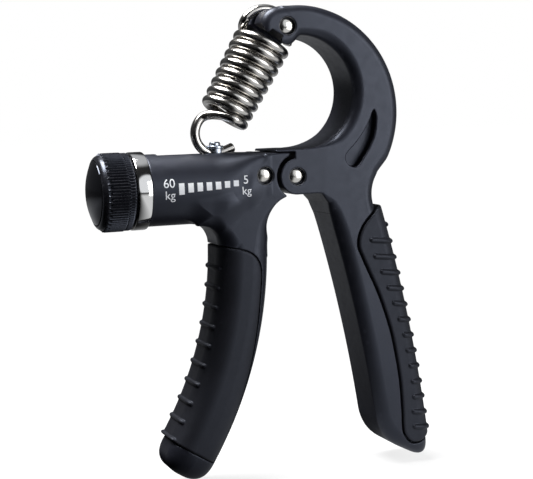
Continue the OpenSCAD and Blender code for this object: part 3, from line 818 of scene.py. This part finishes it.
def bend_points(p0, d0, p1, d1, k, steps):
    """Smooth run from p0 along d0 to p1 along d1; k sets how far it follows them."""
    out = []
    for i in range(steps + 1):
        t = i / steps
        out.append(p0 * (2 * t ** 3 - 3 * t * t + 1) + d0 * k * (t ** 3 - 2 * t * t + t)
                   + p1 * (3 * t * t - 2 * t ** 3) + d1 * k * (t ** 3 - t * t))
    return out


def coil_run(a0, a1, step=5):
    """Points of the coil from turn angle a0 to a1, in degrees."""
    n = max(1, round((a1 - a0) / step))
    return [coil_point(a0 + (a1 - a0) * i / n) for i in range(n + 1)]


tail_root, tail_way = loop_point(LOW_LOOP, TAIL_TURN), loop_way(TAIL_TURN)
tail = [tail_root - tail_way * (TAIL_LEN * (1 - i / 6)) for i in range(7)]
tail += [loop_point(LOW_LOOP, a) for a in np.linspace(TAIL_TURN, EYE_TURN, 7)[1:]]
low_loop = [loop_point(LOW_LOOP, a) for a in np.linspace(EYE_TURN, LOW_LEAVE, 34)]
low_bend = bend_points(loop_point(LOW_LOOP, LOW_LEAVE), loop_way(LOW_LEAVE),
                       coil_point(FRONT_LEAVE), coil_way(FRONT_LEAVE), 11, 26)
high_bend = bend_points(coil_point(BACK_LEAVE), coil_way(BACK_LEAVE),
                        loop_point(HIGH_LOOP, HIGH_JOIN), loop_way(HIGH_JOIN), 9, 20)
high_loop = [loop_point(HIGH_LOOP, a) for a in np.linspace(HIGH_JOIN, HIGH_END, 38)]

END_HALVES = 4                                  # half turns at each end that the nut stretches
first_half = low_bend[:-1] + coil_run(FRONT_LEAVE, 0)
last_half = coil_run(360 * TURNS, BACK_LEAVE)[:-1] + high_bend
halves = [first_half] + [coil_run(a, a + 180) for a in range(0, 360 * TURNS, 180)] + [last_half]
whole = [("tail", tail), ("low_loop", low_loop)]
whole += [(f"turn_{i:02d}", h) for i, h in enumerate(halves)]
whole += [("high_loop", high_loop)]


WIRE_SIDES = 24
WIRE_CHAMFER = 0.35                             # at the wire's two cut ends


def wire_frames(path):
    """Directions along a path, and two across it that do not twist about it."""
    ways = np.gradient(path, axis=0)
    ways /= np.linalg.norm(ways, axis=1, keepdims=True)
    across = [unit(np.cross(ways[0], [0.0, 0.3, 1.0]))]
    for way in ways[1:]:
        across.append(unit(across[-1] - way * (across[-1] @ way)))
    across = np.array(across)
    return ways, across, np.cross(ways, across)


def wire_mesh(name, centres, ways, rings, chamfers):
    """A length of wire with closed ends; its normals point straight out of the wire."""
    skin = centres[:, None, :] + WIRE_R * rings
    last = len(centres) - 1
    after = [(k + 1) % WIRE_SIDES for k in range(WIRE_SIDES)]
    faces = [(i + k, i + m, i + WIRE_SIDES + m, i + WIRE_SIDES + k)
             for i in range(0, last * WIRE_SIDES, WIRE_SIDES) for k, m in enumerate(after)]
    points, normals = skin.reshape(-1, 3), rings.reshape(-1, 3)
    for at, sign, chamfer in ((0, -1, chamfers[0]), (last, 1, chamfers[1])):
        base, ring, way = len(points), at * WIRE_SIDES, ways[at] * sign
        tip = skin[at] + way * chamfer - (skin[at] - centres[at]) * (chamfer / WIRE_R)
        points = np.concatenate([points, tip])
        normals = np.concatenate([normals, np.tile(way, (WIRE_SIDES, 1))])
        faces.append(tuple(range(base, base + WIRE_SIDES))[::sign])
        if chamfer:
            faces += [(ring + k, ring + m, base + m, base + k)[::sign] for k, m in enumerate(after)]
    obj = as_mesh(name, points, faces)
    smooth(obj)
    return obj, normals


def wire_uv(obj, run):
    """UVs along the wire in millimetres and around it in turns, for the drawn lines."""
    index = np.empty(len(obj.data.loops), int)
    obj.data.loops.foreach_get("vertex_index", index)
    along = np.repeat(np.concatenate([run, run[[0, -1]]]), WIRE_SIDES)
    around = np.tile(np.arange(WIRE_SIDES) / WIRE_SIDES, len(run) + 2)
    uv = np.stack([along[index], around[index]], 1)
    obj.data.uv_layers.new(name="wire").data.foreach_set("uv", uv.astype(np.float32).ravel())


def wire_pieces(parts):
    """One wire cut into pieces that share their end rings."""
    path, ranges = [parts[0][1][0]], []
    for _, pts in parts:
        begin = len(path) - 1
        path += list(pts[1:])
        ranges.append((begin, len(path)))
    path = np.array(path)
    ways, across, other = wire_frames(path)
    run = np.concatenate([[0], np.cumsum(np.linalg.norm(np.diff(path, axis=0), axis=1))])
    angles = 2 * np.pi * np.arange(WIRE_SIDES)[None, :, None] / WIRE_SIDES
    rings = across[:, None, :] * np.cos(angles) + other[:, None, :] * np.sin(angles)
    basis = np.array([EX, EY, EZ])
    centres, ways, rings = path @ basis + SPRING_C, ways @ basis, rings @ basis
    made = []
    for (name, _), (begin, end) in zip(parts, ranges):
        chamfers = [WIRE_CHAMFER if name == parts[i][0] else 0.0 for i in (0, -1)]
        obj, normals = wire_mesh("spring_" + name, centres[begin:end], ways[begin:end],
                                 rings[begin:end], chamfers)
        wire_uv(obj, run[begin:end])
        obj.data.normals_split_custom_set_from_vertices(normals.tolist())
        made.append(obj)
    return made


spring = wire_pieces(whole)


def ramp_piece(obj):
    """Bakes a half turn's placement into its mesh."""
    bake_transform(obj)


finish_piece(spring[0], SPRING, "hook_end", ["spring_hook_tail"])
finish_piece(spring[1], SPRING, "lower_loop", ["spring_lower_hook"])
finish_piece(spring[-1], SPRING, "upper_loop", ["spring_upper_hook"])
turns = spring[2:-1]
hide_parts("spring_lower_coils")
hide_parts("spring_upper_coils")
STRETCHES = [("lower_loop", "lower_coils", END_HALVES),
             ("lower_coils", "upper_coils", len(turns) - 2 * END_HALVES),
             ("upper_coils", "upper_loop", END_HALVES)]
places = [(a, b, j, count) for a, b, count in STRETCHES for j in range(count)]
for i, (obj, (a, b, j, count)) in enumerate(zip(turns, places)):
    finish_piece(obj, SPRING)
    ramp_piece(obj)


# ---------------------------------------------------------------- printed scale
DRAPE_FROM = -14.0                              # in front of the arm
INK_OUT, INK_IN = 0.05, 0.08                    # the print's faces, out of the skin and under it


def drape(obj):
    """Lays a flat drawing (X across, Y up, Z thickness) on the left arm's front."""
    co = np.array([v.co for v in obj.data.vertices], float)
    x, z, up = co[:, 0], co[:, 1], co[:, 2]
    p = np.stack([x, np.full(len(x), DRAPE_FROM), z], 1)
    for _ in range(12):
        p[:, 1] += 0.9 * left_arm(p[:, 0], p[:, 1], p[:, 2])
    p[:, 1] -= np.where(up > 0, INK_OUT, -INK_IN)
    obj.data.vertices.foreach_set("co", in_frame(p).astype(np.float32).ravel())
    obj.data.update()


def flat_to_mesh(name, source):
    """Mesh of a filled curve or text, in millimetres, cut fine enough to bend."""
    bpy.context.view_layer.update()
    dg = bpy.context.evaluated_depsgraph_get()
    mesh = bpy.data.meshes.new_from_object(source.evaluated_get(dg))
    bpy.data.objects.remove(source)
    bm = bmesh.new()
    bm.from_mesh(mesh)
    bmesh.ops.triangulate(bm, faces=bm.faces)
    for _ in range(2):
        long_edges = [e for e in bm.edges if e.calc_length() > 0.5]
        if long_edges:
            bmesh.ops.subdivide_edges(bm, edges=long_edges, cuts=1)
            bmesh.ops.triangulate(bm, faces=bm.faces)
    bmesh.ops.remove_doubles(bm, verts=bm.verts, dist=0.001)
    bm.to_mesh(mesh)
    bm.free()
    return link_new(name, mesh)


def print_text(name, words, centre, size):
    curve = bpy.data.curves.new(name, "FONT")
    curve.body = words
    curve.size = size
    curve.align_x, curve.align_y = "CENTER", "CENTER"
    curve.extrude = 0.05
    curve.resolution_u = 6
    obj = flat_to_mesh(name, link_new(name, curve))
    obj.data.transform(Matrix.Translation((centre[0], centre[1], 0)))
    drape(obj)
    return finish_piece(obj, INK, "left_side")


def print_bar(name, x, z0, z1, width):
    nx, nz = 5, 9
    xs, zs = np.linspace(x - width / 2, x + width / 2, nx), np.linspace(z0, z1, nz)
    points = [(a, b, up) for up in (0.05, -0.05) for b in zs for a in xs]
    faces = []
    for layer, flip in ((0, False), (nx * nz, True)):
        for j in range(nz - 1):
            for i in range(nx - 1):
                low = layer + j * nx + i
                q = [low, low + 1, low + nx + 1, low + nx]
                faces.append(q[::-1] if flip else q)
    rim = list(range(nx)) + [j * nx + nx - 1 for j in range(1, nz)]
    rim += [(nz - 1) * nx + i for i in range(nx - 2, -1, -1)]
    rim += [j * nx for j in range(nz - 2, 0, -1)]
    for a, b in zip(rim, rim[1:] + rim[:1]):
        faces.append([a, a + nx * nz, b + nx * nz, b])
    mesh = bpy.data.meshes.new(name)
    mesh.from_pydata(points, [], faces)
    obj = link_new(name, mesh)
    drape(obj)
    outward(obj)
    return finish_piece(obj, INK, "left_side")


print_text("scale_high_number", "60", (-44.9, -0.2), 4.0)
print_text("scale_high_unit", "kg", (-44.7, -4.0), 3.9)
print_text("scale_low_number", "5", (-18.6, -0.2), 3.9)
print_text("scale_low_unit", "kg", (-18.5, -3.8), 3.7)
BAR_HEIGHTS = [3.7, 3.0, 2.8, 2.65, 2.45, 2.15, 1.95]
BAR_MID = [-2.0, -1.75, -1.65, -1.6, -1.5, -1.3, -1.1]
BAR_XS = np.linspace(-40.8, -22.1, len(BAR_HEIGHTS))
BAR_WIDTH = 1.85
for i, (x, height, mid) in enumerate(zip(BAR_XS, BAR_HEIGHTS, BAR_MID)):
    print_bar(f"scale_bar_{i + 1}", x, mid - height / 2, mid + height / 2, BAR_WIDTH)


# ---------------------------------------------------------------- carried-over CAD nodes
CARRIED = {
    "bearing_bush": BUSH, "hinge_plate": STEEL, "knob_screw": ZINC, "lead_screw": STEEL,
    "thrust_washer": STEEL, "slide_nut": ZINC, "hinge_washers": RIVET,
}
for node_name, material in CARRIED.items():
    finish_piece(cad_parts[node_name], material)


# ---------------------------------------------------------------- stage
def stage_material():
    """White to the camera with a soft contact shadow near the object; to everything else it glows,
    painted fill light brightest in front of and right of the object, fainter behind it.
    """
    material, tree, out = shader("stage_pale")
    tree.nodes.remove(out)
    where = put(tree, "ShaderNodeTexCoord").outputs["Object"]
    cloud = noise(tree, where, 6.0, 2)
    tone = mix_colour(tree, cloud, (0.93, 0.93, 0.93, 1), (0.95, 0.95, 0.95, 1))
    diffuse = put(tree, "ShaderNodeBsdfDiffuse", {"Color": tone})
    glow = put(tree, "ShaderNodeEmission", {"Color": (1, 1, 1, 1), "Strength": 1.02})
    # painted fill light: to everything but the camera the floor glows in a pool in front of and
    # right of the object and a band behind it, fading far out
    far_out = put(tree, "ShaderNodeVectorMath", {0: where}, operation="LENGTH").outputs["Value"]
    at = put(tree, "ShaderNodeSeparateXYZ", {"Vector": where})
    right = ramp(tree, at.outputs["X"], -0.065, -0.01, 0.0, 1.0)
    front = ramp(tree, at.outputs["Y"], -0.012, 0.004, 0.72, 0.05)
    back = ramp(tree, at.outputs["Y"], 0.03, 0.30, 0.0, 0.42)
    fill = maths(tree, "ADD", maths(tree, "MULTIPLY", right, front), back)
    fill = maths(tree, "MULTIPLY", fill, ramp(tree, far_out, 0.5, 1.1, 1.0, 0.1))
    fill_glow = put(tree, "ShaderNodeEmission", {"Color": (0.95, 0.97, 1, 1), "Strength": fill})
    fade = ramp(tree, far_out, 0.06, 0.28, 0.80, 1.0)
    path = put(tree, "ShaderNodeLightPath")
    seen = put(tree, "ShaderNodeMixShader", {0: fade, 1: diffuse.outputs[0], 2: glow.outputs[0]})
    pick = put(tree, "ShaderNodeMixShader", {0: path.outputs["Is Camera Ray"], 1: fill_glow.outputs[0],
                                             2: seen.outputs[0]})
    tree.links.new(pick.outputs[0], tree.nodes["Material Output"].inputs["Surface"])
    return material


FLOOR_Z = cad_box[0].z / MM - 2.0
bpy.ops.mesh.primitive_grid_add(x_subdivisions=20, y_subdivisions=20, size=8.0,
                                location=(0, 0, FLOOR_Z * MM))
floor = bpy.context.object
floor.name = "floor"
floor.data.materials.append(stage_material())


# panels: direction towards the light, cosines where it fades in and is full, radiance
PANELS = [
    ((0.42, -0.85, 0.30), 0.84, 0.90, 0.85),
    ((0.10, 0.35, 0.95), 0.80, 0.95, 0.50),
    ((-0.42, 0.90, 0.05), 0.55, 0.97, 0.05),
    ((0.97, 0.10, 0.10), 0.80, 0.97, 0.25),
]


def studio_world():
    """White to the camera; to the object, a dark studio with panels in front, above and behind."""
    world = bpy.data.worlds.new("studio")
    bpy.context.scene.world = world
    world.use_nodes = True
    tree = world.node_tree
    tree.nodes.clear()
    way = put(tree, "ShaderNodeTexCoord").outputs["Generated"]
    total = None
    for toward, low, high, strength in PANELS:
        dot = put(tree, "ShaderNodeVectorMath", {0: way, 1: Vector(toward).normalized()},
                  operation="DOT_PRODUCT")
        lobe = put(tree, "ShaderNodeMapRange",
                   {"Value": dot.outputs["Value"], "From Min": low, "From Max": high,
                    "To Min": 0.0, "To Max": strength}, interpolation_type="SMOOTHSTEP")
        value = lobe.outputs["Result"]
        total = value if total is None else maths(tree, "ADD", total, value)
    total = maths(tree, "ADD", total, 0.02)
    room = put(tree, "ShaderNodeBackground", {"Color": (0.92, 0.95, 1.0, 1), "Strength": total})
    white = put(tree, "ShaderNodeBackground", {"Color": (1, 1, 1, 1), "Strength": 1.0})
    path = put(tree, "ShaderNodeLightPath")
    pick = put(tree, "ShaderNodeMixShader", {0: path.outputs["Is Camera Ray"], 1: room.outputs[0],
                                             2: white.outputs[0]})
    out = put(tree, "ShaderNodeOutputWorld")
    tree.links.new(pick.outputs[0], out.inputs["Surface"])


def softbox(name, place, aim, size, power, colour=(1, 1, 1)):
    light = bpy.data.lights.new(name, "AREA")
    light.shape = "RECTANGLE"
    light.size, light.size_y = size
    light.energy = power
    light.color = colour
    obj = link_new(name, light)
    obj.location = in_frame(place)
    obj.rotation_mode = "QUATERNION"
    obj.rotation_quaternion = (Vector(aim) - Vector(place)).to_track_quat("-Z", "Y")


studio_world()
softbox("top_box", (-250, 100, 750), (0, 0, -20), (0.55, 0.5), 20.0)
softbox("near_right_box", (300, -400, 50), (10, 0, 0), (0.30, 0.42), 1.35)

# ---------------------------------------------------------------- camera at the photograph's angle
CAMERA_AT = Vector(in_frame((-164.413, -419.283, 25.460)))
CAMERA_X = Vector((0.935315, -0.352524, -0.030198))
CAMERA_Y = Vector((0.064925, 0.087102, 0.994082))
CAMERA_LENS = 89.39
CAMERA_Z = CAMERA_X.cross(CAMERA_Y)
camera = link_new("camera", bpy.data.cameras.new("camera"))
camera.matrix_world = Matrix((
    (CAMERA_X.x, CAMERA_Y.x, CAMERA_Z.x, CAMERA_AT.x),
    (CAMERA_X.y, CAMERA_Y.y, CAMERA_Z.y, CAMERA_AT.y),
    (CAMERA_X.z, CAMERA_Y.z, CAMERA_Z.z, CAMERA_AT.z),
    (0, 0, 0, 1)))
camera.data.sensor_width = 36.0
camera.data.lens = CAMERA_LENS
camera.data.clip_start, camera.data.clip_end = 0.01, 20.0
bpy.context.scene.camera = camera
bpy.context.scene.view_settings.view_transform = "Standard"
